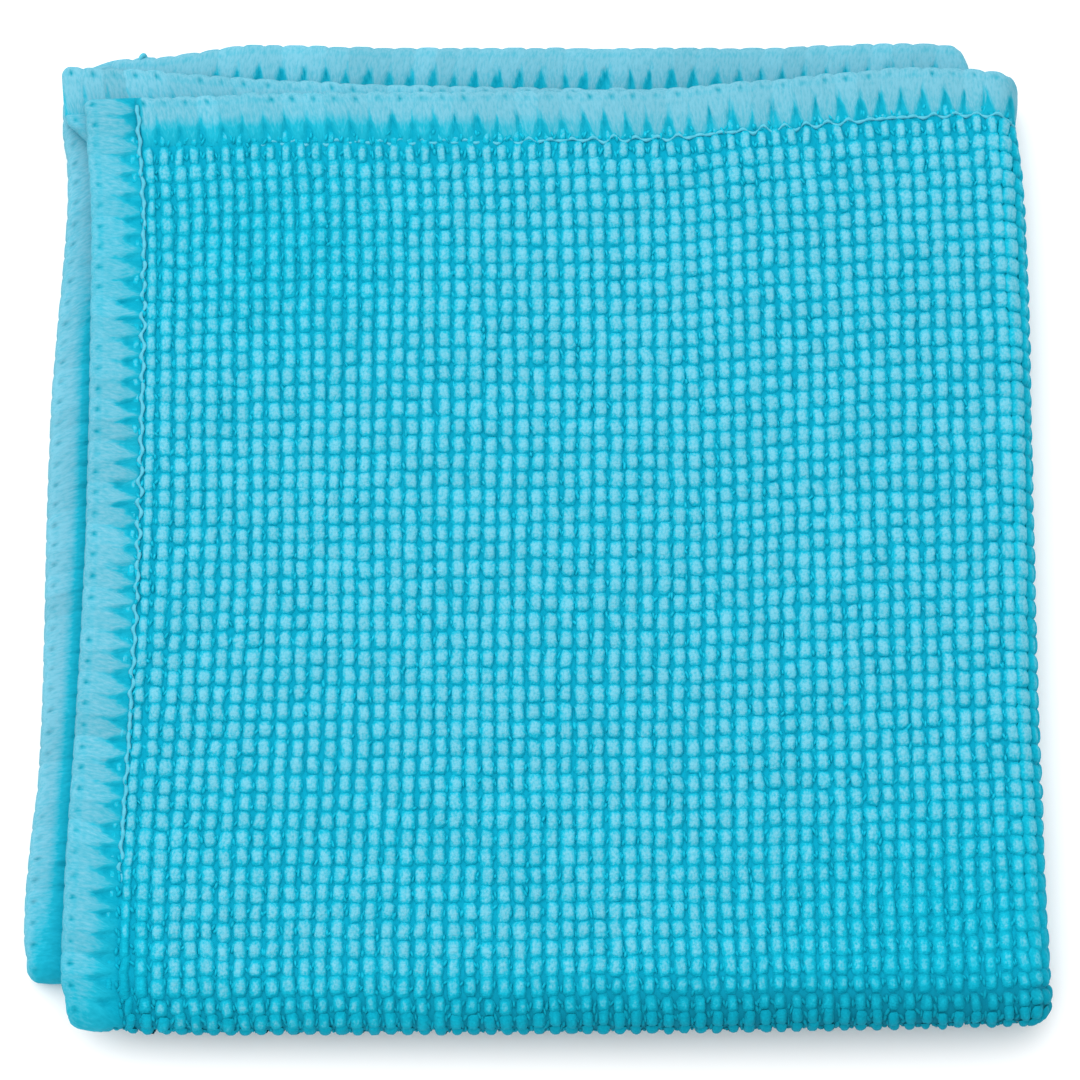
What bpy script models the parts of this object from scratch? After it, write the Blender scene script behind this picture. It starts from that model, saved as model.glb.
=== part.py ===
"""A square microfibre cloth with a pearl knit and an overlocked hem, folded in quarters.

The cloth is one piece. It is folded front to back first, which makes a pair of leaves, and
the pair is then folded at the right, so four leaves lie on each other:

    leaf 1, on top   outer leaf of the upper pair
    leaf 2           inner leaf of the upper pair
    leaf 3           inner leaf of the lower pair
    leaf 4, beneath  outer leaf of the lower pair

The folds are at the front (-Y) and at the right (+X), the four hems at the back and at the
left. A flat slab is built first, and each of its points is then carried to its folded place.
Metres, +Z up. The origin is under the middle of the folded cloth.
"""

import math

import bmesh
import bpy
import numpy as np

# The cloth laid flat
FLAT_SIDE = 0.320
THICKNESS = 0.0028
CORNER_RADIUS = 0.0018

# The folds
FRONT_GAP = 0.0006  # between the two leaves of a pair
RIGHT_GAP = 0.0006  # between the upper and the lower pair
ROLL_DEPTH = 0.70  # how far the right fold stands out, as a share of a round one
HEM_PULL = 0.0005  # how far the back hem is drawn forward round the right fold
HEM_PULL_POWER = 4

# The hem: its thickness at each distance in from the edge
HEM_PROFILE = np.array(
    [
        # from_edge, thickness
        (0.0000, 0.0011),
        (0.0010, 0.0026),
        (0.0035, 0.0031),
        (0.0086, 0.0021),
        (0.0112, 0.0028),
    ]
)

# Columns of the two tables below
LEAF_1, LEAF_2, LEAF_3, LEAF_4, UPPER_FRONT, LOWER_FRONT = range(1, 7)
ROLL = 5

# The back edge of each leaf and the front folds, in y, from the right fold to the left hem.
# The lower pair stops short at the right, in a step of its back hem.
ACROSS = np.array(
    [
        # share, leaf_1, leaf_2, leaf_3, leaf_4, upper_front, lower_front
        (0.000, 0.0803, 0.0798, 0.0798, 0.0796, -0.0814, -0.0780),
        (0.009, 0.0804, 0.0798, 0.0803, 0.0800, -0.0815, -0.0779),
        (0.019, 0.0806, 0.0798, 0.0816, 0.0810, -0.0815, -0.0778),
        (0.025, 0.0807, 0.0798, 0.0846, 0.0836, -0.0816, -0.0778),
        (0.032, 0.0808, 0.0798, 0.0869, 0.0858, -0.0816, -0.0777),
        (0.042, 0.0809, 0.0797, 0.0878, 0.0867, -0.0816, -0.0777),
        (0.090, 0.0811, 0.0796, 0.0880, 0.0869, -0.0818, -0.0775),
        (0.160, 0.0802, 0.0792, 0.0878, 0.0867, -0.0820, -0.0771),
        (0.240, 0.0789, 0.0787, 0.0872, 0.0865, -0.0822, -0.0768),
        (0.300, 0.0782, 0.0786, 0.0872, 0.0865, -0.0823, -0.0765),
        (0.340, 0.0774, 0.0786, 0.0872, 0.0865, -0.0824, -0.0763),
        (0.400, 0.0770, 0.0786, 0.0872, 0.0865, -0.0825, -0.0760),
        (0.600, 0.0767, 0.0791, 0.0872, 0.0864, -0.0826, -0.0748),
        (0.800, 0.0765, 0.0805, 0.0877, 0.0861, -0.0826, -0.0739),
        (0.860, 0.0760, 0.0812, 0.0863, 0.0852, -0.0826, -0.0737),
        (0.900, 0.0758, 0.0818, 0.0855, 0.0846, -0.0825, -0.0735),
        (0.940, 0.0756, 0.0821, 0.0850, 0.0842, -0.0824, -0.0734),
        (1.000, 0.0753, 0.0825, 0.0812, 0.0808, -0.0812, -0.0732),
    ]
)

# The left hem of each leaf and the line where the right fold starts to turn, in x, from the
# front fold to the back hem
ALONG = np.array(
    [
        # share, leaf_1, leaf_2, leaf_3, leaf_4, roll
        (0.000, -0.0758, -0.0754, -0.0829, -0.0829, 0.0777),
        (0.030, -0.0767, -0.0760, -0.0835, -0.0834, 0.0775),
        (0.060, -0.0767, -0.0760, -0.0835, -0.0834, 0.0774),
        (0.100, -0.0766, -0.0758, -0.0832, -0.0830, 0.0772),
        (0.150, -0.0764, -0.0756, -0.0826, -0.0823, 0.0771),
        (0.200, -0.0761, -0.0752, -0.0819, -0.0815, 0.0771),
        (0.300, -0.0754, -0.0744, -0.0816, -0.0810, 0.0768),
        (0.500, -0.0746, -0.0736, -0.0817, -0.0805, 0.0769),
        (0.620, -0.0745, -0.0735, -0.0815, -0.0802, 0.0770),
        (0.700, -0.0746, -0.0736, -0.0809, -0.0795, 0.0771),
        (0.860, -0.0750, -0.0743, -0.0797, -0.0784, 0.0768),
        (0.905, -0.0754, -0.0750, -0.0800, -0.0785, 0.0764),
        (0.922, -0.0757, -0.0775, -0.0805, -0.0786, 0.0762),
        (0.938, -0.0759, -0.0799, -0.0808, -0.0788, 0.0760),
        (0.970, -0.0762, -0.0806, -0.0809, -0.0790, 0.0761),
        (1.000, -0.0768, -0.0810, -0.0810, -0.0792, 0.0764),
    ]
)

# Soft dents and swells of the pile of leaves
DENTS = np.array(
    [
        # x, y, reach_x, reach_y, share of the height
        (-0.046, 0.050, 0.034, 0.015, -0.085),
        (-0.050, -0.054, 0.040, 0.012, 0.030),
        (0.010, 0.010, 0.060, 0.030, 0.022),
        (0.046, -0.056, 0.030, 0.018, -0.040),
        (0.056, 0.052, 0.026, 0.022, 0.020),
    ]
)

# The front of the upper pair lies out over the front of the lower pair, and sags there
OVERHANG_REACH = 0.0110
OVERHANG_SAG = 0.0021

# The middle of the folded cloth, which is put over the origin
PILE_MIDDLE = np.array([-0.0008, 0.0027])

# Steps of the mesh, and its extra lines as shares of a leg: by the step in the back hem of
# the lower pair, and where the corner of leaf 2 comes out at the back left
LEG_STEPS = 8
ROLL_STEPS = 8
FRONT_STEPS = 6
STEP_LINES = (0.009, 0.019, 0.025, 0.032, 0.042, 0.075)
CORNER_LINES = (0.905, 0.917)

HALF_SIDE = FLAT_SIDE / 2
FRONT_RADIUS = (FRONT_GAP + THICKNESS) / 2
FRONT_REACH = FRONT_RADIUS + THICKNESS / 2
RIGHT_RADIUS = RIGHT_GAP / 2 + THICKNESS + FRONT_GAP / 2
MIDDLE_HEIGHT = RIGHT_RADIUS + FRONT_RADIUS + THICKNESS / 2
FRONT_ARC = math.pi / 2 * FRONT_RADIUS
RIGHT_ARC = math.pi / 2 * RIGHT_RADIUS


def read_table(table, column, where):
    """Reads a column of a table at any place, as a smooth curve that never overshoots a row."""
    stations, values = table[:, 0], table[:, column]
    rise = np.diff(values) / np.diff(stations)
    before, after = rise[:-1], rise[1:]
    same_way = before * after > 0
    inner = np.where(same_way, 2 * before * after / np.where(same_way, before + after, 1), 0)
    slopes = np.concatenate([rise[:1], inner, rise[-1:]])
    row = np.clip(np.searchsorted(stations, where) - 1, 0, len(stations) - 2)
    span = stations[row + 1] - stations[row]
    t = np.clip((where - stations[row]) / span, 0, 1)
    start = (2 * t**3 - 3 * t**2 + 1) * values[row] + (t**3 - 2 * t**2 + t) * span * slopes[row]
    end = (3 * t**2 - 2 * t**3) * values[row + 1] + (t**3 - t**2) * span * slopes[row + 1]
    return start + end


def ease(low, high, value):
    """0 below low, 1 above high, and smooth between them."""
    t = np.clip((value - low) / (high - low), 0, 1)
    return t * t * (3 - 2 * t)


def round_corners(across, along):
    """Draws the four corners of the flat cloth in to CORNER_RADIUS."""
    p = np.clip((np.abs(across) - HALF_SIDE) / CORNER_RADIUS + 1, 0, 1)
    q = np.clip((np.abs(along) - HALF_SIDE) / CORNER_RADIUS + 1, 0, 1)
    in_across = (p - p * np.sqrt(1 - q * q / 2)) * CORNER_RADIUS
    in_along = (q - q * np.sqrt(1 - p * p / 2)) * CORNER_RADIUS
    return across - np.sign(across) * in_across, along - np.sign(along) * in_along


def fold(across, along, height):
    """Folded places of points of the flat cloth.

    across runs from the left hem of the lower pair (-) over the right fold (0) to the left
    hem of the upper pair (+), along from the back hem of the inner leaf (-) over the front
    fold (0) to the back hem of the outer leaf (+), and height is measured from the middle
    of the cloth, + on the side that the folds turn outwards.
    """
    across, along = round_corners(across, along)

    # The front fold: height over the middle of the pair, and distance out past the fold line
    front_turn = np.clip(along / FRONT_ARC, -1, 1) * math.pi / 2
    reach = FRONT_RADIUS + height
    over = reach * np.sin(front_turn)
    past_front = reach * np.cos(front_turn)
    outer = (1 + np.sin(front_turn)) / 2
    up_leg = np.clip((np.abs(along) - FRONT_ARC) / (HALF_SIDE - FRONT_ARC), 0, 1)

    # The right fold turns the pair over
    right_turn = np.clip(across / RIGHT_ARC, -1, 1) * math.pi / 2
    roll = RIGHT_RADIUS + over
    upper = (1 + np.sin(right_turn)) / 2
    out_leg = np.clip((np.abs(across) - RIGHT_ARC) / (HALF_SIDE - RIGHT_ARC), 0, 1)

    def by_leaf(table, where):
        """One value per point, from the columns of the leaves that the point lies in."""
        top_pair = outer * read_table(table, LEAF_1, where) + (1 - outer) * read_table(table, LEAF_2, where)
        low_pair = (1 - outer) * read_table(table, LEAF_3, where) + outer * read_table(table, LEAF_4, where)
        return upper * top_pair + (1 - upper) * low_pair

    left = by_leaf(ALONG, up_leg)
    back = by_leaf(ACROSS, out_leg)
    upper_front = read_table(ACROSS, UPPER_FRONT, out_leg)
    lower_front = read_table(ACROSS, LOWER_FRONT, out_leg)
    front = FRONT_REACH + upper * upper_front + (1 - upper) * lower_front
    pull = HEM_PULL * np.cos(right_turn) * up_leg**HEM_PULL_POWER

    roll_line = read_table(ALONG, ROLL, up_leg)
    x = roll_line + (left - roll_line) * out_leg + ROLL_DEPTH * roll * np.cos(right_turn)
    y = front + (back - front) * up_leg - past_front - pull
    z = MIDDLE_HEIGHT + roll * np.sin(right_turn)

    swell = np.zeros_like(z)
    for centre_x, centre_y, reach_x, reach_y, share in DENTS:
        swell += share * np.exp(-(((x - centre_x) / reach_x) ** 2) - ((y - centre_y) / reach_y) ** 2)
    hang = upper * ease(0, OVERHANG_REACH, lower_front - y)
    z = z * (1 + swell) - OVERHANG_SAG * hang
    return x - PILE_MIDDLE[0], y - PILE_MIDDLE[1], z


def hem_thickness(across, along):
    """Thickness of the cloth at a point of it, as it lies flat."""
    from_edge = HALF_SIDE - np.maximum(np.abs(across), np.abs(along))
    return np.interp(from_edge, HEM_PROFILE[:, 0], HEM_PROFILE[:, 1])


def mesh_lines(arc, arc_steps, extra_shares):
    """Where the lines of the mesh lie across the cloth: close at the hems and in the fold."""
    hem = HALF_SIDE - HEM_PROFILE[:, 0]
    leg = np.linspace(hem[-1], arc, LEG_STEPS + 1)[1:]
    extra = arc + np.array(extra_shares) * (HALF_SIDE - arc)
    bend = np.linspace(arc, 0, arc_steps // 2 + 1)[1:]
    half = np.sort(np.concatenate([hem, leg, extra, bend]))[::-1]
    return np.concatenate([-half[:-1], half[::-1]])


def cloth_mesh(name):
    """A closed slab of the flat cloth, carried to its folded place."""
    across_lines = mesh_lines(RIGHT_ARC, ROLL_STEPS, STEP_LINES)
    along_lines = mesh_lines(FRONT_ARC, FRONT_STEPS, CORNER_LINES)
    across_cells = len(across_lines) - 1
    along_cells = len(along_lines) - 1

    build = bmesh.new()
    bmesh.ops.create_grid(build, x_segments=across_cells, y_segments=along_cells, size=0.5)
    bmesh.ops.solidify(build, geom=build.faces[:], thickness=1.0)
    places = np.array([vertex.co[:] for vertex in build.verts])
    across = across_lines[np.rint((places[:, 0] + 0.5) * across_cells).astype(int)]
    along = along_lines[np.rint((places[:, 1] + 0.5) * along_cells).astype(int)]
    side = np.where(places[:, 2] > places[:, 2].mean(), 1.0, -1.0)

    # The outer face of leaf 4 stays level under its hem, so that the cloth lies flat
    thickness = hem_thickness(across, along)
    beneath = ease(0, RIGHT_ARC, -across) * ease(0, FRONT_ARC, along)
    height = side * thickness / 2 + beneath * (THICKNESS - thickness) / 2
    folded = np.stack(fold(across, along, height), axis=1)
    for vertex, place in zip(build.verts, folded):
        vertex.co = place

    # The fold mirrors the slab, so its faces are turned to point out again
    bmesh.ops.reverse_faces(build, faces=build.faces[:])
    bmesh.ops.triangulate(build, faces=build.faces[:])
    mesh = bpy.data.meshes.new(name)
    build.to_mesh(mesh)
    build.free()
    return mesh


def knit_material():
    """Turquoise microfibre, matt."""
    material = bpy.data.materials.new("turquoise_microfibre")
    material.use_nodes = True
    shader = material.node_tree.nodes["Principled BSDF"]
    shader.inputs["Base Color"].default_value = (0.05, 0.50, 0.68, 1.0)
    shader.inputs["Roughness"].default_value = 0.9
    shader.inputs["Metallic"].default_value = 0.0
    return material


for old in list(bpy.data.objects):
    bpy.data.objects.remove(old, do_unlink=True)

collection = bpy.data.collections.new("microfibre_cloth")
bpy.context.scene.collection.children.link(collection)
cloth = bpy.data.objects.new("folded_cloth", cloth_mesh("folded_cloth"))
cloth.data.materials.append(knit_material())
cloth.data.shade_smooth()
collection.objects.link(cloth)
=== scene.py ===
"""A turquoise pearl-knit microfibre cloth with a fluffy overlocked hem, folded in quarters."""
import math

import bpy
import numpy as np
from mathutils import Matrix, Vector


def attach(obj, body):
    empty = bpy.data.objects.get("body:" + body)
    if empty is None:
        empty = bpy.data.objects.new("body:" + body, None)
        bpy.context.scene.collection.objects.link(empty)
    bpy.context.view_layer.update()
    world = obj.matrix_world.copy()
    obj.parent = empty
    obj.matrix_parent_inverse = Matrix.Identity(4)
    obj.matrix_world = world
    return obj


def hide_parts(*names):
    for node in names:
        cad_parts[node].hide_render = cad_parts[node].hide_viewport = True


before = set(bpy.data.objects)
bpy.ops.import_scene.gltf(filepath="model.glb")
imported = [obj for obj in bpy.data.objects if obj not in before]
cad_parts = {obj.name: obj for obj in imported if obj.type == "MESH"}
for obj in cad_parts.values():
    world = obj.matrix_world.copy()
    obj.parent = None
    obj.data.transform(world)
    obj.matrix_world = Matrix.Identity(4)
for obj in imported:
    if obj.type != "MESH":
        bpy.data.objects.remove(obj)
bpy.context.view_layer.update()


# ---------------------------------------------------------------------------------------
# The knitted ground
# One square of warp-knitted microfibre, 320 mm a side. It is folded front to back, and the
# pair of leaves is folded again at the right. This is the flat, darker knit that carries the
# pearls on its outer face, and it runs on under the yarn of the hem.

MM = 0.001
FLAT_SIDE = 320 * MM
THICKNESS = 2.8 * MM
CORNER_RADIUS = 1.8 * MM
FRONT_GAP = 0.6 * MM
RIGHT_GAP = 0.6 * MM
ROLL_DEPTH = 0.70
HEM_PULL = 0.5 * MM
HEM_PULL_POWER = 4
OVERHANG_REACH = 11.0 * MM
OVERHANG_SAG = 2.1 * MM
PILE_MIDDLE = (-0.8 * MM, 2.7 * MM)

HALF_SIDE = FLAT_SIDE / 2
FRONT_RADIUS = (FRONT_GAP + THICKNESS) / 2
FRONT_REACH = FRONT_RADIUS + THICKNESS / 2
RIGHT_RADIUS = RIGHT_GAP / 2 + THICKNESS + FRONT_GAP / 2
MIDDLE_HEIGHT = RIGHT_RADIUS + FRONT_RADIUS + THICKNESS / 2
FRONT_ARC = math.pi / 2 * FRONT_RADIUS
RIGHT_ARC = math.pi / 2 * RIGHT_RADIUS

# Leaves 1 and 2 are the outer and inner leaf of the upper pair, 3 and 4 the inner and outer
# leaf of the lower pair. ACROSS gives, from the right fold to the left hem, where their back
# edges and the front folds lie in y, and ALONG, from the front fold to the back hem, where
# their left edges and the start of the right fold lie in x, in metres.
# Columns by number:
LEAF_1, ROLL, UPPER_FRONT, LOWER_FRONT = 1, 5, 5, 6
ACROSS = np.array([
    # share, leaf_1, leaf_2, leaf_3, leaf_4, upper_front, lower_front
    (0.000, 0.0803, 0.0798, 0.0798, 0.0796, -0.0814, -0.0780),
    (0.009, 0.0804, 0.0798, 0.0803, 0.0800, -0.0815, -0.0779),
    (0.019, 0.0806, 0.0798, 0.0816, 0.0810, -0.0815, -0.0778),
    (0.025, 0.0807, 0.0798, 0.0846, 0.0836, -0.0816, -0.0778),
    (0.032, 0.0808, 0.0798, 0.0869, 0.0858, -0.0816, -0.0777),
    (0.042, 0.0809, 0.0797, 0.0878, 0.0867, -0.0816, -0.0777),
    (0.090, 0.0811, 0.0796, 0.0880, 0.0869, -0.0818, -0.0775),
    (0.160, 0.0802, 0.0792, 0.0878, 0.0867, -0.0820, -0.0771),
    (0.240, 0.0789, 0.0787, 0.0872, 0.0865, -0.0822, -0.0768),
    (0.300, 0.0782, 0.0786, 0.0872, 0.0865, -0.0823, -0.0765),
    (0.340, 0.0774, 0.0786, 0.0872, 0.0865, -0.0824, -0.0763),
    (0.400, 0.0770, 0.0786, 0.0872, 0.0865, -0.0825, -0.0760),
    (0.600, 0.0767, 0.0791, 0.0872, 0.0864, -0.0826, -0.0748),
    (0.800, 0.0765, 0.0805, 0.0877, 0.0861, -0.0826, -0.0739),
    (0.860, 0.0760, 0.0812, 0.0863, 0.0852, -0.0826, -0.0737),
    (0.900, 0.0758, 0.0818, 0.0855, 0.0846, -0.0825, -0.0735),
    (0.940, 0.0756, 0.0821, 0.0850, 0.0842, -0.0824, -0.0734),
    (1.000, 0.0753, 0.0825, 0.0812, 0.0808, -0.0812, -0.0732),
])
ALONG = np.array([
    # share, leaf_1, leaf_2, leaf_3, leaf_4, roll
    (0.000, -0.0758, -0.0754, -0.0829, -0.0829, 0.0777),
    (0.030, -0.0767, -0.0760, -0.0835, -0.0834, 0.0775),
    (0.060, -0.0767, -0.0760, -0.0835, -0.0834, 0.0774),
    (0.100, -0.0766, -0.0758, -0.0832, -0.0830, 0.0772),
    (0.150, -0.0764, -0.0756, -0.0826, -0.0823, 0.0771),
    (0.200, -0.0761, -0.0752, -0.0819, -0.0815, 0.0771),
    (0.300, -0.0754, -0.0744, -0.0816, -0.0810, 0.0768),
    (0.500, -0.0746, -0.0736, -0.0817, -0.0805, 0.0769),
    (0.620, -0.0745, -0.0735, -0.0815, -0.0802, 0.0770),
    (0.700, -0.0746, -0.0736, -0.0809, -0.0795, 0.0771),
    (0.860, -0.0750, -0.0743, -0.0797, -0.0784, 0.0768),
    (0.905, -0.0754, -0.0750, -0.0800, -0.0785, 0.0764),
    (0.922, -0.0757, -0.0775, -0.0805, -0.0786, 0.0762),
    (0.938, -0.0759, -0.0799, -0.0808, -0.0788, 0.0760),
    (0.970, -0.0762, -0.0806, -0.0809, -0.0790, 0.0761),
    (1.000, -0.0768, -0.0810, -0.0810, -0.0792, 0.0764),
])
# How far the seam of the top hem is drawn forward, from the right fold to the left hem. The
# seam lies at SEAM_AT of the way from the front fold to the back.
SEAM_AT = 0.94
SEAM = np.array([
    # share, metres
    (0.00, -0.0012),
    (0.04, -0.0006),
    (0.10, 0.0000),
    (1.00, 0.0000),
])
DENTS = np.array([
    # x, y, reach_x, reach_y, share of the height
    (-0.046, 0.050, 0.034, 0.015, -0.085),
    (-0.050, -0.054, 0.040, 0.012, 0.030),
    (0.010, 0.010, 0.060, 0.030, 0.022),
    (0.046, -0.056, 0.030, 0.018, -0.040),
    (0.056, 0.052, 0.026, 0.022, 0.020),
])


def read_table(table, column, where):
    """Reads a column of a table at any place, as a smooth curve that never overshoots a row."""
    stations, values = table[:, 0], table[:, column]
    rise = np.diff(values) / np.diff(stations)
    before, after = rise[:-1], rise[1:]
    same_way = before * after > 0
    inner = np.where(same_way, 2 * before * after / np.where(same_way, before + after, 1), 0)
    slopes = np.concatenate([rise[:1], inner, rise[-1:]])
    row = np.clip(np.searchsorted(stations, where) - 1, 0, len(stations) - 2)
    span = stations[row + 1] - stations[row]
    t = np.clip((where - stations[row]) / span, 0, 1)
    start = (2 * t**3 - 3 * t**2 + 1) * values[row] + (t**3 - 2 * t**2 + t) * span * slopes[row]
    end = (3 * t**2 - 2 * t**3) * values[row + 1] + (t**3 - t**2) * span * slopes[row + 1]
    return start + end


def ease(low, high, value):
    """0 below low, 1 above high, and smooth between them."""
    t = np.clip((value - low) / (high - low), 0, 1)
    return t * t * (3 - 2 * t)


def patch(x, y, row):
    """A soft oval patch, 1 in its middle. A row starts with its centre and its reach."""
    centre_x, centre_y, reach_x, reach_y = row[:4]
    return np.exp(-(((x - centre_x) / reach_x) ** 2) - ((y - centre_y) / reach_y) ** 2)


def round_corners(across, along):
    """Draws the four corners of the flat cloth in to CORNER_RADIUS."""
    p = np.clip((np.abs(across) - HALF_SIDE) / CORNER_RADIUS + 1, 0, 1)
    q = np.clip((np.abs(along) - HALF_SIDE) / CORNER_RADIUS + 1, 0, 1)
    in_across = (p - p * np.sqrt(1 - q * q / 2)) * CORNER_RADIUS
    in_along = (q - q * np.sqrt(1 - p * p / 2)) * CORNER_RADIUS
    return across - np.sign(across) * in_across, along - np.sign(along) * in_along


def fold(across, along, height):
    """Folded places of points of the flat cloth.

    across runs from the left hem of the lower pair (-) over the right fold (0) to the left
    hem of the upper pair (+), along from the back hem of the inner leaf (-) over the front
    fold (0) to the back hem of the outer leaf (+), and height is measured from the middle
    of the cloth, + on the side that the folds turn outwards.
    """
    across, along = round_corners(across, along)

    front_turn = np.clip(along / FRONT_ARC, -1, 1) * math.pi / 2
    reach = FRONT_RADIUS + height
    over = reach * np.sin(front_turn)
    past_front = reach * np.cos(front_turn)
    outer = (1 + np.sin(front_turn)) / 2
    up_leg = np.clip((np.abs(along) - FRONT_ARC) / (HALF_SIDE - FRONT_ARC), 0, 1)

    right_turn = np.clip(across / RIGHT_ARC, -1, 1) * math.pi / 2
    roll = RIGHT_RADIUS + over
    upper = (1 + np.sin(right_turn)) / 2
    out_leg = np.clip((np.abs(across) - RIGHT_ARC) / (HALF_SIDE - RIGHT_ARC), 0, 1)

    def by_leaf(table, where):
        """One value per point, from the columns of the leaves that the point lies in."""
        first, second, third, fourth = [read_table(table, LEAF_1 + n, where) for n in range(4)]
        top_pair = outer * first + (1 - outer) * second
        low_pair = (1 - outer) * third + outer * fourth
        return upper * top_pair + (1 - upper) * low_pair

    left = by_leaf(ALONG, up_leg)
    back = by_leaf(ACROSS, out_leg)
    upper_front = read_table(ACROSS, UPPER_FRONT, out_leg)
    lower_front = read_table(ACROSS, LOWER_FRONT, out_leg)
    front = FRONT_REACH + upper * upper_front + (1 - upper) * lower_front
    pull = HEM_PULL * np.cos(right_turn) * up_leg**HEM_PULL_POWER
    by_seam = np.minimum((1 - up_leg) / (1 - SEAM_AT), up_leg / SEAM_AT)
    pull = pull + read_table(SEAM, 1, out_leg) * upper * outer * by_seam

    roll_line = read_table(ALONG, ROLL, up_leg)
    x = roll_line + (left - roll_line) * out_leg + ROLL_DEPTH * roll * np.cos(right_turn)
    y = front + (back - front) * up_leg - past_front - pull
    z = MIDDLE_HEIGHT + roll * np.sin(right_turn)

    swell = sum(dent[4] * patch(x, y, dent) for dent in DENTS)
    hang = upper * ease(0, OVERHANG_REACH, lower_front - y)
    z = z * (1 + swell) - OVERHANG_SAG * hang
    return np.stack([x - PILE_MIDDLE[0], y - PILE_MIDDLE[1], z], axis=-1)


def beneath(across, along):
    """1 on leaf 4, which lies on the surface, and 0 on the others."""
    return ease(0, RIGHT_ARC, -across) * ease(0, FRONT_ARC, along)


put_in_scene = bpy.context.scene.collection.objects.link


def new_piece(name, points, faces, material):
    """A smooth object from arrays of points and faces."""
    mesh = bpy.data.meshes.new(name)
    mesh.from_pydata(points.tolist(), [], faces.tolist())
    mesh.materials.append(material)
    mesh.shade_smooth()
    piece = bpy.data.objects.new(name, mesh)
    put_in_scene(piece)
    return piece


def grid_faces(rows, columns):
    """Quads of a grid whose points run row by row."""
    i, j = np.meshgrid(np.arange(rows - 1), np.arange(columns - 1), indexing="ij")
    first = (i * columns + j).ravel()
    return np.stack([first, first + 1, first + columns + 1, first + columns], axis=1)


# Shares and ranges that the two node groups work with
ALONG_THE_FIBRE = (1.0, 0.30, 1.0)
FINE_SHARE = 0.7
NOISE_RANGE = (0.3, 0.7)
RAGGED_RANGE = (-0.5, 0.5)
RAGGED_UP_PILE = (0.3, 1.0)
DEEP_TO_BODY = (0.0, 0.5)
BODY_TO_TIP = (0.45, 1.0)
STREAK_TONES = (0.93, 1.07)
OWN_TONES = (0.68, 1.05)


def new_group(name, inputs, outputs):
    """A node group with named sockets only, what it is given, and what it puts out."""
    group = bpy.data.node_groups.new(name, "ShaderNodeTree")
    for socket, kind, default in inputs:
        item = group.interface.new_socket(socket, in_out="INPUT", socket_type="NodeSocket" + kind)
        item.default_value = default
    for socket, kind in outputs:
        group.interface.new_socket(socket, in_out="OUTPUT", socket_type="NodeSocket" + kind)
    given, out = group.nodes.new("NodeGroupInput"), group.nodes.new("NodeGroupOutput")
    return group, given.outputs, out.inputs


def add_node(nodes, kind, **values):
    """A shader node, with its options (in small letters) and the values of its sockets."""
    node = nodes.new("ShaderNode" + kind)
    for name, value in values.items():
        if name.islower():
            setattr(node, name, value)
        else:
            node.inputs[name].default_value = value
    return node


def filament_group():
    """Fine filaments of split microfibre: streaks along the fibre, and a softer clumping of them."""
    group, given, out = new_group(
        "microfibre_filaments",
        [
            ("Place", "Vector", (0.0, 0.0, 0.0)),
            ("Fineness", "Float", 2200.0),
            ("Clump", "Float", 420.0),
        ],
        [("Height", "Float"), ("Tone", "Float")],
    )
    nodes, link = group.nodes, group.links.new
    drawn_out = add_node(nodes, "VectorMath", operation="MULTIPLY")
    drawn_out.inputs[1].default_value = ALONG_THE_FIBRE
    link(given["Place"], drawn_out.inputs[0])
    fine = add_node(nodes, "TexNoise", Detail=3.0, Roughness=0.6)
    link(drawn_out.outputs[0], fine.inputs["Vector"])
    link(given["Fineness"], fine.inputs["Scale"])
    clump = add_node(nodes, "TexNoise", Detail=2.0)
    link(given["Place"], clump.inputs["Vector"])
    link(given["Clump"], clump.inputs["Scale"])
    both = add_node(nodes, "Math", operation="MULTIPLY_ADD")
    both.inputs[1].default_value = FINE_SHARE
    link(fine.outputs["Fac"], both.inputs[0])
    link(clump.outputs["Fac"], both.inputs[2])
    link(both.outputs[0], out["Height"])
    link(fine.outputs["Fac"], out["Tone"])
    return group


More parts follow.
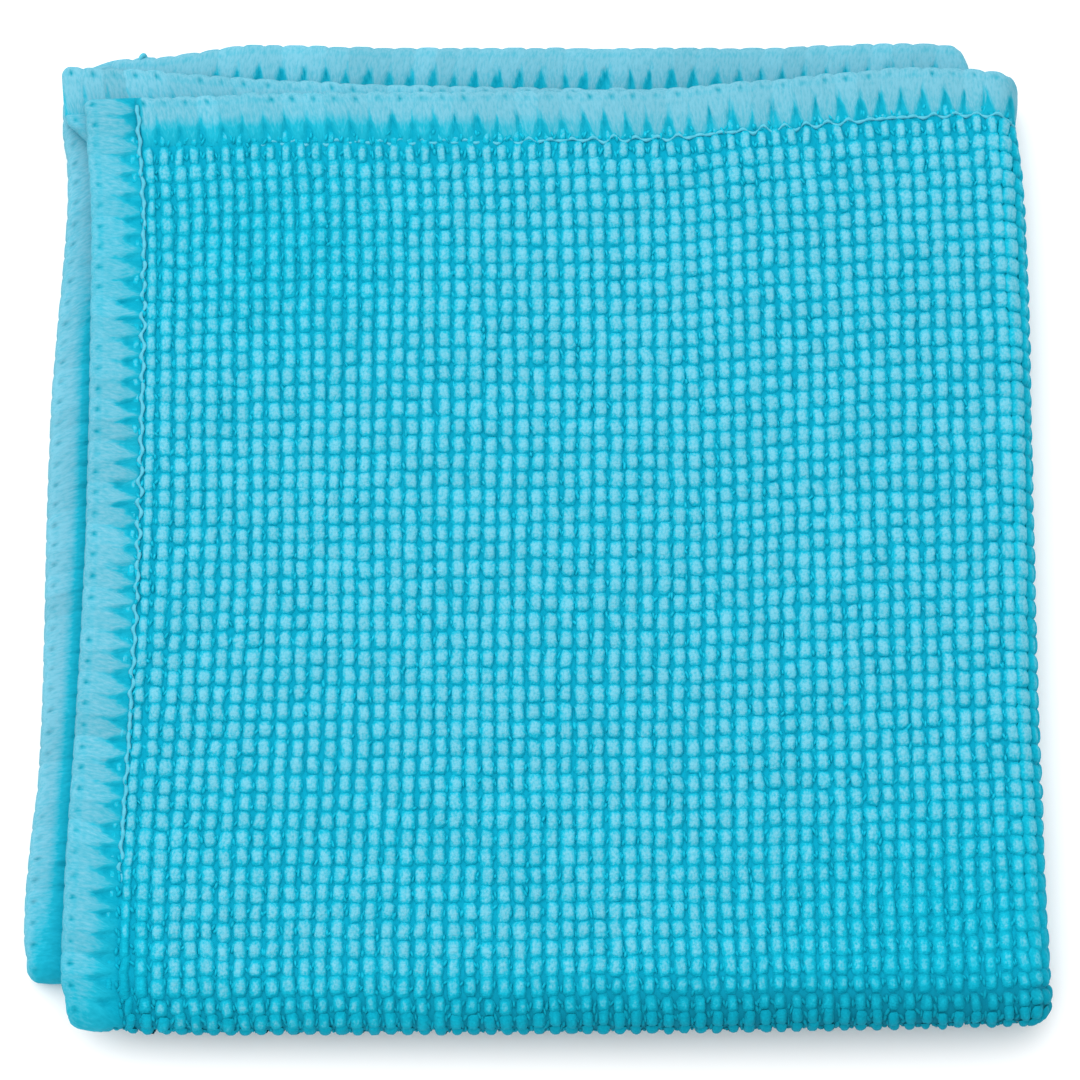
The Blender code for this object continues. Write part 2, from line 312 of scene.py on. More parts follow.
def dye_shade_sheen_group():
    """Colour of dyed microfibre: deep and saturated low down, with painted shade in the gaps, and pale
    at the tips, partly as painted sheen.
    """
    group, given, out = new_group(
        "microfibre_dye_shade_sheen",
        [
            ("Rise", "Float", 0.5),
            ("Tone", "Float", 0.5),
            ("Own", "Float", 0.5),
            ("Gap", "Float", 0.003),
            ("Shut", "Float", 0.25),
            ("Open", "Float", 0.80),
            ("Ragged", "Float", 0.4),
            ("Deep", "Color", (0.0, 0.3, 0.5, 1.0)),
            ("Body", "Color", (0.05, 0.5, 0.7, 1.0)),
            ("Tip", "Color", (0.2, 0.6, 0.8, 1.0)),
        ],
        [("Color", "Color")],
    )
    nodes, link = group.nodes, group.links.new

    def mix(share, low, high):
        """Blends two colours by a mask."""
        node = add_node(nodes, "Mix", data_type="RGBA")
        link(share, node.inputs["Factor"])
        link(low, node.inputs["A"])
        link(high, node.inputs["B"])
        return node.outputs["Result"]

    def stretched(source, span=(0.0, 1.0), to=(0.0, 1.0)):
        """Maps a mask from one range to another, with both ends held."""
        ends = dict(zip(("From Min", "From Max", "To Min", "To Max"), (*span, *to)))
        node = add_node(nodes, "MapRange", **ends)
        link(source, node.inputs["Value"])
        return node.outputs["Result"]

    def product(first, second):
        """Multiplies two masks."""
        node = add_node(nodes, "Math", operation="MULTIPLY")
        link(first, node.inputs[0])
        link(second, node.inputs[1])
        return node.outputs[0]

    # Painted shade: where the occlusion node finds the surface hemmed in, the colour is drawn towards
    # the deep colour.
    occlusion_shade = add_node(nodes, "AmbientOcclusion", samples=6)
    link(given["Gap"], occlusion_shade.inputs["Distance"])
    unshaded = add_node(nodes, "MapRange")
    link(occlusion_shade.outputs["AO"], unshaded.inputs["Value"])
    link(given["Shut"], unshaded.inputs["From Min"])
    link(given["Open"], unshaded.inputs["From Max"])
    ragged = add_node(nodes, "Math", operation="MULTIPLY_ADD")
    link(stretched(given["Tone"], NOISE_RANGE, RAGGED_RANGE), ragged.inputs[0])
    up_pile = stretched(given["Rise"], to=RAGGED_UP_PILE)
    link(product(given["Ragged"], up_pile), ragged.inputs[1])
    link(product(given["Rise"], unshaded.outputs["Result"]), ragged.inputs[2])
    risen = ragged.outputs[0]
    low_part = mix(stretched(risen, DEEP_TO_BODY), given["Deep"], given["Body"])
    # The pale tip colour, partly painted sheen, shows where the rise is high.
    whole = mix(stretched(risen, BODY_TO_TIP), low_part, given["Tip"])
    streaks = stretched(given["Tone"], NOISE_RANGE, STREAK_TONES)
    own = stretched(given["Own"], to=OWN_TONES)
    scale = add_node(nodes, "VectorMath", operation="SCALE")
    link(whole, scale.inputs[0])
    link(product(streaks, own), scale.inputs["Scale"])
    link(scale.outputs[0], out["Color"])
    return group


FILAMENTS = filament_group()
DYE_SHADE_SHEEN = dye_shade_sheen_group()


def microfibre(name, deep, body, tip, gap, shut, open_at, ragged, fineness, clump, bump, bump_depth):
    """Matt dyed microfibre with painted shade and sheen, reading the 'fibre', 'rise' and 'own' painted
    on its piece.
    """
    material = bpy.data.materials.new(name)
    material.use_nodes = True
    nodes, link = material.node_tree.nodes, material.node_tree.links.new
    shader = nodes["Principled BSDF"]
    filaments = add_node(nodes, "Group", node_tree=FILAMENTS, Fineness=fineness, Clump=clump)
    dye_shade_sheen = add_node(
        nodes, "Group", node_tree=DYE_SHADE_SHEEN,
        Gap=gap, Shut=shut, Open=open_at, Ragged=ragged, Deep=deep, Body=body, Tip=tip,
    )

    def painted(mask, output, socket):
        """Feeds what is painted on the piece to a socket."""
        node = add_node(nodes, "Attribute", attribute_name=mask)
        link(node.outputs[output], socket)

    painted("fibre", "Vector", filaments.inputs["Place"])
    painted("rise", "Fac", dye_shade_sheen.inputs["Rise"])
    painted("own", "Fac", dye_shade_sheen.inputs["Own"])
    link(filaments.outputs["Tone"], dye_shade_sheen.inputs["Tone"])
    link(dye_shade_sheen.outputs["Color"], shader.inputs["Base Color"])
    relief = add_node(nodes, "Bump", Strength=bump, Distance=bump_depth)
    link(filaments.outputs["Height"], relief.inputs["Height"])
    link(relief.outputs["Normal"], shader.inputs["Normal"])
    shader.inputs["Roughness"].default_value = 0.75
    shader.inputs["Specular IOR Level"].default_value = 0.05
    shader.inputs["Sheen Weight"].default_value = 0.02
    shader.inputs["Sheen Roughness"].default_value = 0.5
    shader.inputs["Sheen Tint"].default_value = (0.75, 0.93, 1.0, 1.0)
    return material


# Patches of painted shade, where the cloth turns from the light. The pile's pale tips are
# lowered there, and away from the front fold the pearls are also drawn longer, brushed down.
NAP_AND_SHADE = np.array([
    # x, y, reach_x, reach_y, share of the pile
    (-0.0438, 0.0470, 0.0260, 0.0190, 0.50),
    (0.0680, -0.0690, 0.0320, 0.0180, 0.62),
    (0.0300, -0.0855, 0.1200, 0.0095, 0.85),
    (-0.0655, -0.0810, 0.0045, 0.0190, 0.90),
    (-0.0790, -0.0768, 0.0026, 0.0130, 0.75),
    (-0.0200, -0.0560, 0.0600, 0.0120, 0.15),
])

# Painted shade deepens the colour over the front fold, and less so towards the left hem.
SHADE_STARTS = (-4 * MM, -1 * MM)
SHADE_ENDS = (2 * MM, 10 * MM)
SHADE_THINS = (27 * MM, 137 * MM)
SHADE_LOST = 0.65


def standing_and_lit(places):
    """How much of the pile stands up, lit, at places of the folded cloth; less in the patches of
    painted shade.
    """
    share = 1.0
    for row in NAP_AND_SHADE:
        share = share * (1 - row[4] * patch(places[..., 0], places[..., 1], row))
    return share


def by_front_fold(across, along):
    """How deep the shade by the front fold is at points of the flat cloth."""
    by_fold = ease(*SHADE_STARTS, along) * (1 - ease(*SHADE_ENDS, along))
    return by_fold * (1 - SHADE_LOST * ease(*SHADE_THINS, np.abs(across)))


def paint(piece, fibre, rise, own):
    """Keeps at each point its place along the fibres, its rise up the pile and its own tone, with
    painted shade in both.
    """
    layer = piece.data.attributes.new("fibre", "FLOAT_VECTOR", "POINT")
    layer.data.foreach_set("vector", np.asarray(fibre, dtype=np.float32).ravel())
    for mask, values in (("rise", rise), ("own", own)):
        layer = piece.data.attributes.new(mask, "FLOAT", "POINT")
        layer.data.foreach_set("value", np.asarray(values, dtype=np.float32).ravel())


COLUMN_PITCH = 2.618 * MM
ROW_PITCH = 3.024 * MM
PEARL_HEIGHT = 0.88 * MM
HEM_WIDTH = 8.9 * MM
HEM_GROUND = 0.7 * MM
HEM_LINES = (0.9 * MM, 3.5 * MM, 6.5 * MM)
HEM_STEP = 1.6 * MM
RIGHT_FOLD_LINES = 12
FRONT_FOLD_LINES = 10
GROUND_OUTER = THICKNESS / 2 - PEARL_HEIGHT
GROUND_INNER = -THICKNESS / 2
GROUND_RISE = 0.6
GROUND_TONE = 0.8
GROUND_SHADE = 0.9
# The deep colour also stands for painted shade in the gaps.
GROUND_DEEP = (0.000, 0.230, 0.345, 1.0)
GROUND_BODY = (0.000, 0.290, 0.425, 1.0)
GROUND_TIP = (0.000, 0.330, 0.475, 1.0)


def ground_lines(arc, lines_in_fold, pitch):
    """Lines of the ground's mesh: one for each row of pearls, and closer in the fold."""
    hem = HALF_SIDE - np.array(HEM_LINES)
    leg = np.linspace(HALF_SIDE - HEM_WIDTH, arc, round((HALF_SIDE - HEM_WIDTH - arc) / pitch) + 1)
    bend = np.linspace(arc, 0, lines_in_fold // 2 + 1)[1:]
    half = np.concatenate([hem, leg, bend])
    return np.concatenate([-half[:-1], half[::-1]])


def ground_sheet():
    """The closed slab of knit, with its rim under the hem yarn."""
    across, along = np.meshgrid(
        ground_lines(RIGHT_ARC, RIGHT_FOLD_LINES, COLUMN_PITCH),
        ground_lines(FRONT_ARC, FRONT_FOLD_LINES, ROW_PITCH),
        indexing="ij",
    )
    rows, columns = across.shape
    from_middle = np.maximum(np.abs(across), np.abs(along))
    in_hem = ease(0, HEM_STEP, from_middle - (HALF_SIDE - HEM_WIDTH - HEM_STEP / 2))
    outer = GROUND_OUTER + (HEM_GROUND / 2 - GROUND_OUTER) * in_hem
    inner = GROUND_INNER + (-HEM_GROUND / 2 - GROUND_INNER) * in_hem
    points = np.concatenate([fold(across, along, face).reshape(-1, 3) for face in (outer, inner)])
    flat = np.stack([across, along, np.zeros_like(across)], axis=-1).reshape(-1, 3)
    top = grid_faces(rows, columns)[:, ::-1]
    under = grid_faces(rows, columns) + rows * columns
    rim = np.concatenate(
        [
            np.arange(columns),
            np.arange(1, rows) * columns + columns - 1,
            (rows - 1) * columns + np.arange(columns - 2, -1, -1),
            np.arange(rows - 2, 0, -1) * columns,
        ]
    )
    after = np.roll(rim, -1)
    side = np.stack([rim, after, after + rows * columns, rim + rows * columns], axis=1)
    return points, np.concatenate([top, under, side]), np.concatenate([flat, flat])


ground_points, ground_faces, ground_fibre = ground_sheet()
knit_ground = new_piece(
    "knit_ground",
    ground_points,
    ground_faces,
    microfibre(
        "knit_ground_turquoise",
        GROUND_DEEP, GROUND_BODY, GROUND_TIP,
        gap=2.5 * MM, shut=0.25, open_at=0.80, ragged=0.25,
        fineness=1500.0, clump=380.0, bump=0.6, bump_depth=0.35 * MM,
    ),
)
# Painted shade by the front fold lowers the ground's rise and darkens its tone.
ground_shade = by_front_fold(ground_fibre[:, 0], ground_fibre[:, 1])
paint(
    knit_ground,
    ground_fibre,
    GROUND_RISE * (1 - GROUND_SHADE * ground_shade),
    GROUND_TONE * (1 - ground_shade),
)
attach(knit_ground, "root")
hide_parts("folded_cloth")


# ---------------------------------------------------------------------------------------
# The pearls
# Each pearl is a tight tuft of looped microfibre, knitted in straight columns and rows over
# the outer face. They are squarish and soft, touch in a column, and leave a channel between
# the columns. No two are quite alike, and the rows wander a little.

PEARL_HALF = (1.29 * MM, 1.94 * MM)
PEARL_AROUND = np.radians([30, 60, 120, 150, 210, 240, 300, 330])
PEARL_RINGS = np.array([
    # radius share, height share, how far up the pile
    (1.00, -0.06, 0.14),
    (0.84, 0.42, 0.40),
    (0.62, 0.76, 0.70),
    (0.31, 0.95, 0.97),
])
PEARL_SHIFT = (0.055 * MM, 0.085 * MM)
COLUMN_SHIFT = 0.11 * MM
PEARL_UNLIKE = 0.05
PEARL_LEAN = 0.08 * MM
LUMPS = 0.055
PEARL_TURN = 0.08
PEARL_SQUARENESS = (2.0, 2.8)
USUAL_TALL, MOST_TALL, BENEATH_TALL = 0.95, 1.04, 0.99
# The first whole column and row lie so far in from the edge. One more is half hidden in the hem.
FIRST_COLUMN, FIRST_ROW = 10.4 * MM, 11.1 * MM
COLUMNS, ROWS = 56, 49
COLUMNS_ON_LEAF = HALF_SIDE - FIRST_COLUMN - COLUMN_PITCH * np.arange(-1, COLUMNS)[::-1]
COLUMNS_IN_FOLD = 1.900 * MM * np.arange(-2, 3)
ROWS_ON_LEAF = HALF_SIDE - FIRST_ROW - ROW_PITCH * np.arange(-1, ROWS)[::-1]
ROWS_IN_FOLD = 1.630 * MM * np.arange(-1, 2)
TURNED_UNDER_ROWS = 2
# Pearls are narrower beside the hem, half hidden in it, and smaller and rounder by the front.
BY_HEM_WIDTH = 0.73
IN_HEM_HEIGHT = (0.05, 0.50)
IN_HEM_SIZE = 0.65
BY_FRONT_SIZE = 0.80
ROUND_BELOW = 0.95
BRUSHED_LENGTH = 0.30
IN_FOLD_WIDTH = 1.20
WANDER = 0.08 * MM
WANDER_WAVES = 7
WAVES_PER_METRE = 14
PEARL_SEED = {1: 11, -1: 12}
# Painted shade and sheen on the pile: its pale tips shrink where it faces sideways, away from the
# light above, and where it lies flat in the patches of painted shade, and go where the shade is
# deepest.
SIDEWAYS = (0.20, 0.90)
SIDEWAYS_RISE = 0.30
FLAT_RISE = 0.45
DEEPEST_SHADE = (0.05, 0.40)
FIBRE_ALONG = 2.5
FIBRE_APART = 0.2
ABOVE_FLOOR = 0.02 * MM
PEARL_TONES = (0.76, 0.96)
PEARL_SHADE = 0.65
# The deep colour also stands for painted shade in the gaps, and the pale tip colour is partly painted
# sheen.
PEARL_DEEP = (0.000, 0.310, 0.440, 1.0)
PEARL_BODY = (0.004, 0.395, 0.540, 1.0)
PEARL_TIP = (0.128, 0.432, 0.545, 1.0)


def wander(across, along, luck):
    """Slow shifts of the rows and columns, as in any knit that has been handled."""
    shift = np.zeros((2, len(across)))
    for _ in range(WANDER_WAVES):
        waves = luck.normal(0, WAVES_PER_METRE, 2)
        phase = luck.uniform(0, 2 * math.pi, 2)
        turn = 2 * math.pi * (waves[0] * across + waves[1] * along)
        shift += WANDER * np.sin(turn[None] + phase[:, None])
    return shift


def cloth_frame(across, along, height):
    """Place, two directions in the cloth and the direction out of it, at points of the cloth."""
    step = 0.2 * MM
    place = fold(across, along, height)
    u = fold(across + step, along, height) - fold(across - step, along, height)
    v = fold(across, along + step, height) - fold(across, along - step, height)
    out = np.cross(u, v)
    lift = fold(across, along, height + step) - place
    out *= np.sign(np.sum(out * lift, axis=-1, keepdims=True))
    v = np.cross(out, u)
    units = [w / np.linalg.norm(w, axis=-1, keepdims=True) for w in (u, v, out)]
    return place, *units


def tufts(place, u, v, out, width, length, tall, rings, around, squareness, luck, turn, lean):
    """Joined small domes: their points, faces, places along the fibre and how far up the pile."""
    count, sides = len(place), len(around)
    power = squareness[:, None]
    square = (np.abs(np.cos(around)) ** power + np.abs(np.sin(around)) ** power) ** (-1 / power)
    lumpy = square * (1 + luck.normal(0, LUMPS, (count, sides)))
    ring, high, up = rings[:, 0], rings[:, 1], rings[:, 2]

    def outline(round_it, half, tilt):
        """How far the rings and the tip of each dome lie from its middle, in one direction."""
        dome = ring[None, :, None] * (lumpy * round_it)[:, None, :] * half[:, None, None]
        dome = (dome + high[None, :, None] * tilt[:, None, None]).reshape(count, -1)
        return np.concatenate([dome, tilt[:, None]], axis=1)

    flat_u = outline(np.cos(around), width, lean[:, 0])
    flat_v = outline(np.sin(around), length, lean[:, 1])
    height = np.repeat(high[None, :] * tall[:, None], sides, axis=1)
    height = np.concatenate([height, tall[:, None]], axis=1)
    # Painted shade and sheen: the pale tips shrink where the pile faces sideways, away from the light
    # above, and in the patches of painted shade.
    facing_the_light = SIDEWAYS_RISE + (1 - SIDEWAYS_RISE) * ease(*SIDEWAYS, np.abs(out[:, 2]))
    stands = standing_and_lit(place) * facing_the_light
    top = (FLAT_RISE + (1 - FLAT_RISE) * stands) * ease(*DEEPEST_SHADE, stands)
    up_pile = np.append(np.repeat(up, sides), 1.0)[None, :]
    rise = up_pile ** (1 / stands[:, None]) * top[:, None]

    turned_u = flat_u * np.cos(turn)[:, None] - flat_v * np.sin(turn)[:, None]
    turned_v = flat_u * np.sin(turn)[:, None] + flat_v * np.cos(turn)[:, None]
    points = (
        place[:, None, :]
        + turned_u[..., None] * u[:, None, :]
        + turned_v[..., None] * v[:, None, :]
        + height[..., None] * out[:, None, :]
    )
    points[..., 2] = np.maximum(points[..., 2], ABOVE_FLOOR)
    fibre = np.stack([flat_u, FIBRE_ALONG * flat_v, height], axis=-1)
    fibre = fibre + luck.uniform(0, FIBRE_APART, (count, 1, 3))

    here = np.arange(sides)
    after = (here + 1) % sides
    last = (len(rings) - 1) * sides
    bands = [np.stack([last + here, last + after, np.full(sides, last + sides)], axis=1)]
    for low in range(0, last, sides):
        up_here, up_after = low + sides + here, low + sides + after
        bands += [np.stack([low + here, low + after, up_after], axis=1)]
        bands += [np.stack([low + here, up_after, up_here], axis=1)]
    one = np.concatenate(bands)
    faces = one[None] + np.arange(count)[:, None, None] * points.shape[1]
    outwards = np.sum(np.cross(u, v) * out, axis=-1) > 0
    faces = np.where(outwards[:, None, None], faces, faces[..., ::-1])
    return points, faces.reshape(-1, 3), fibre, rise


def pearl_lines(side):
    """Columns and rows of pearls of the upper (side 1) or lower pair (side -1), in flat terms."""
    in_half = COLUMNS_IN_FOLD >= 0 if side > 0 else COLUMNS_IN_FOLD < 0
    columns = np.concatenate([COLUMNS_IN_FOLD[in_half][::side], COLUMNS_ON_LEAF * side])
    rows = np.concatenate([-ROWS_ON_LEAF[:TURNED_UNDER_ROWS][::-1], ROWS_IN_FOLD, ROWS_ON_LEAF])
    return columns, rows


def pearls(name, side, material):
    """A joined mesh of all the pearls of one pair of leaves."""
    luck = np.random.default_rng(PEARL_SEED[side])
    columns, rows = pearl_lines(side)
    across, along = [grid.ravel() for grid in np.meshgrid(columns, rows, indexing="ij")]
    count = len(across)
    columns_in = (COLUMNS_ON_LEAF[-1] - np.abs(across)) / COLUMN_PITCH
    rows_in = (ROWS_ON_LEAF[-1] - np.abs(along)) / ROW_PITCH
    lines_in = np.rint(np.minimum(columns_in, rows_in))
    by_hem = np.where(lines_in <= 1, BY_HEM_WIDTH, 1.0)
    in_hem = np.where(lines_in == 0, luck.uniform(*IN_HEM_HEIGHT, count), 1.0)
    half_hidden = np.where(lines_in == 0, IN_HEM_SIZE, 1.0)
    shift = wander(across, along, luck)
    across = across + shift[0] + luck.normal(0, PEARL_SHIFT[0], count)
    along = along + shift[1] + luck.normal(0, PEARL_SHIFT[1], count)
    along = along + np.repeat(luck.normal(0, COLUMN_SHIFT, len(columns)), len(rows))
    by_front = 1 - (1 - BY_FRONT_SIZE) * by_front_fold(across, along)
    tall = PEARL_HEIGHT * np.minimum(luck.normal(USUAL_TALL, PEARL_UNLIKE, count), MOST_TALL)
    tall = tall * np.sqrt(by_hem) * in_hem
    tall = np.where(beneath(across, along) > 0, np.minimum(tall, PEARL_HEIGHT * BENEATH_TALL), tall)
    place, u, v, out = cloth_frame(across, along, np.full(count, GROUND_OUTER))
    in_fold = 1 + (IN_FOLD_WIDTH - 1) * (np.abs(across) < RIGHT_ARC)
    merged = 1 + BRUSHED_LENGTH * (1 - standing_and_lit(place)) * (by_front > ROUND_BELOW)
    width = PEARL_HALF[0] * (1 + luck.normal(0, PEARL_UNLIKE, count)) * by_hem * in_fold
    length = PEARL_HALF[1] * (1 + luck.normal(0, PEARL_UNLIKE, count)) * merged
    square = luck.uniform(*PEARL_SQUARENESS, count)
    points, faces, fibre, rise = tufts(
        place, u, v, out,
        width=width * by_front * half_hidden,
        length=length * by_front * half_hidden,
        tall=tall,
        rings=PEARL_RINGS,
        around=PEARL_AROUND,
        squareness=np.where(by_front < ROUND_BELOW, PEARL_SQUARENESS[0], square),
        luck=luck,
        turn=luck.normal(0, PEARL_TURN, count),
        lean=luck.normal(0, PEARL_LEAN, (count, 2)),
    )
    piece = new_piece(name, points.reshape(-1, 3), faces, material)
    # Painted shade by the front fold darkens the pearls' own tone.
    own = luck.uniform(*PEARL_TONES, count) * (1 - PEARL_SHADE * by_front_fold(across, along))
    paint(piece, fibre, rise * half_hidden[:, None], np.repeat(own, points.shape[1]))
    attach(piece, "root")
    return piece


pearl_finish = microfibre(
    "pearl_turquoise",
    PEARL_DEEP, PEARL_BODY, PEARL_TIP,
    gap=1.8 * MM, shut=0.08, open_at=0.58, ragged=0.70,
    fineness=2400.0, clump=900.0, bump=0.8, bump_depth=0.26 * MM,
)
upper_pearls = pearls("upper_pearls", 1, pearl_finish)
lower_pearls = pearls("lower_pearls", -1, pearl_finish)


# ---------------------------------------------------------------------------------------
# The stitch legs
# Between the pearls, each stitch of the ground knit shows the two legs of its loop, as short
# bright strokes that half fill the channels beside the pearls, and leave a pit at each crossing.

LEG_HALF = (0.32 * MM, 0.75 * MM)
LEG_HEIGHT = 0.36 * MM
LEG_OUT = 0.20 * MM
LEG_SHIFT = (0.07 * MM, 0.45 * MM)
LEG_TURN = (0.22, 0.30)
LEG_AROUND = np.radians(np.arange(30, 390, 60))
LEG_RISE = 0.55
LEG_TONES = (0.60, 1.00)
LEG_SEED = {1: 31, -1: 32}
LEG_RINGS = np.array([
    # radius share, height share, how far up the pile
    (1.00, -0.10, 0.10),
    (0.72, 0.75, 0.45),
])


def stitch_legs(name, side, material):
    """A joined mesh of the stitch legs of one pair of leaves."""
    luck = np.random.default_rng(LEG_SEED[side])
    columns, rows = pearl_lines(side)
    between_columns = (columns[1:] + columns[:-1]) / 2
    across, along = [grid.ravel() for grid in np.meshgrid(between_columns, rows, indexing="ij")]
    shift = wander(across, along, np.random.default_rng(PEARL_SEED[side]))
    across, along = across + shift[0], along + shift[1]
    hand = np.repeat([1, -1], len(across))
    across, along = np.tile(across, 2), np.tile(along, 2)
    count = len(across)
    across = across + hand * LEG_OUT + luck.normal(0, LEG_SHIFT[0], count)
    along = along + luck.normal(0, LEG_SHIFT[1], count)
    place, u, v, out = cloth_frame(across, along, np.full(count, GROUND_OUTER))
    points, faces, fibre, rise = tufts(
        place, u, v, out,
        width=LEG_HALF[0] * (1 + luck.normal(0, 0.12, count)),
        length=LEG_HALF[1] * (1 + luck.normal(0, 0.15, count)),
        tall=LEG_HEIGHT * (1 + luck.normal(0, 0.25, count)),
        rings=LEG_RINGS,
        around=LEG_AROUND,
        squareness=np.full(count, 2.0),
        luck=luck,
        turn=hand * LEG_TURN[0] + luck.normal(0, LEG_TURN[1], count),
        lean=np.zeros((count, 2)),
    )
    piece = new_piece(name, points.reshape(-1, 3), faces, material)
    # Painted shade by the front fold darkens the legs' own tone.
    own = luck.uniform(*LEG_TONES, count) * (1 - by_front_fold(across, along))
    paint(piece, fibre, rise * LEG_RISE, np.repeat(own, points.shape[1]))
    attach(piece, "root")
    return piece


leg_finish = microfibre(
    "stitch_leg_turquoise",
    PEARL_DEEP, PEARL_BODY, PEARL_TIP,
    gap=1.0 * MM, shut=0.10, open_at=0.60, ragged=0.30,
    fineness=2400.0, clump=700.0, bump=0.4, bump_depth=0.15 * MM,
)
upper_stitch_legs = stitch_legs("upper_stitch_legs", 1, leg_finish)
lower_stitch_legs = stitch_legs("lower_stitch_legs", -1, leg_finish)


# ---------------------------------------------------------------------------------------
# The overlock yarn
# A three-thread overlock in fluffy microfibre yarn. At each stitch the yarn fans out from the
# needle point, goes over the cut edge and comes back to the needle point beneath, so the hem
# is fluted inside, full and scalloped outside, with a small pit where the loopers cross.

STITCH_PITCH = 3.62 * MM
STITCH_STEPS = 11
HEM_SECTION = np.array([
    # in from the edge, half thickness, both in mm
    (9.3, 0.30),
    (8.3, 0.78),
    (7.4, 1.02),
    (6.4, 1.24),
    (5.3, 1.40),
    (4.2, 1.48),
    (3.2, 1.48),
    (2.5, 1.45),
    (2.0, 1.42),
    (1.5, 1.38),
    (0.9, 1.18),
    (0.35, 0.80),
    (0.00, 0.00),
])
# The fans lean, sway and widen by shares of a stitch, each a little unlike the rest.
FAN_SLANT = 0.22
FAN_SWAY = 0.14
FAN_WIDEST = 0.52
FAN_SHUT = (0.80, 1.00)
FAN_OFF_LINE = 0.06
FAN_LENGTH_UNLIKE = 0.10
FAN_LATENESS_UNLIKE = 0.40
GAP_STARTS, GAP_ENDS = -0.05, 0.07
THINNING_STARTS, THINNING_ENDS = -0.18, 0.08
THINNING_SHARE = (0.75, 0.25)
FAN_STRANDS = 4
STRANDS_SHOW = (1.5 * MM, 3.5 * MM)
STRAND_DEPTH = 0.05 * MM
STRAND_RISE = 0.06
FAN_FLOOR = 0.62 * MM
YARN_UNLIKE = 0.05 * MM
YARN_LEAST = 0.05 * MM
GROOVE_SHOWS = (2.6 * MM, 5.0 * MM)
GROOVE_HALF = 0.07
GROOVE_DEPTH = 0.20 * MM
GROOVE_SHADE = 0.45
PIT_IN = 1.6 * MM
PIT_SIZE = (0.34 * MM, 0.45 * MM)
PIT_DEPTH = 0.55 * MM
PIT_SHARE = (0.75, 0.30)
PIT_SHADE = 0.55
PIT_LINE_IN = PIT_IN + 0.2 * MM
PIT_LINE_HALF = 0.4 * MM
PIT_LINE_SHADE = 0.14
PILE_FADES = (-0.4 * MM, 2.0 * MM)
SCALLOP = {"along": 0.18 * MM, "across": 0.30 * MM}
SCALLOP_REACH = 4 * MM
FUZZ = 0.04 * MM
YARN_FLAT, YARN_FULL = 0.10 * MM, 0.90 * MM
YARN_TONE = (0.78, 0.08)
HEM_END_ROUND = 1.6 * MM
MATTED = 20.0 * MM
MATTED_FADES = 6.0 * MM
MATTED_START = 9.0 * MM
# On the hem of the lower pair beside and under the upper pair, up to the back, the fans show
# less and shade is painted in a band by the upper pair's edge. The whole strip is painted lighter
# against its shade.
SHADE_BY_UPPER = 0.80
SHADE_BY_UPPER_BESIDE = (-3.6 * MM, -0.6 * MM)
SHADE_BY_UPPER_UP_TO = (28 * MM, 48 * MM)
STRIP_FANS = 0.25
STRIP_PAINTED_LIGHT = 0.12
LEFT_HEM_RISE = 0.87
SIDE_HEM_WIDTH = 7.6 * MM
# The top hem stops short of the left one, and painted shade darkens its end there as a dark notch.
NOTCH_SHADE_LENGTH = 1.8 * MM
NOTCH_SHADE_ENDS = (4 * MM, 6 * MM)
NOTCH_FROM_SIDE_HEM = 0.9 * MM
NOTCH_SHADE = {"rise": 0.9, "own": 0.6}
# The deep colour also stands for painted shade in the gaps, and the pale tip colour is partly painted
# sheen.
YARN_DEEP = (0.000, 0.300, 0.430, 1.0)
YARN_BODY = (0.010, 0.365, 0.495, 1.0)
YARN_TIP = (0.135, 0.388, 0.493, 1.0)


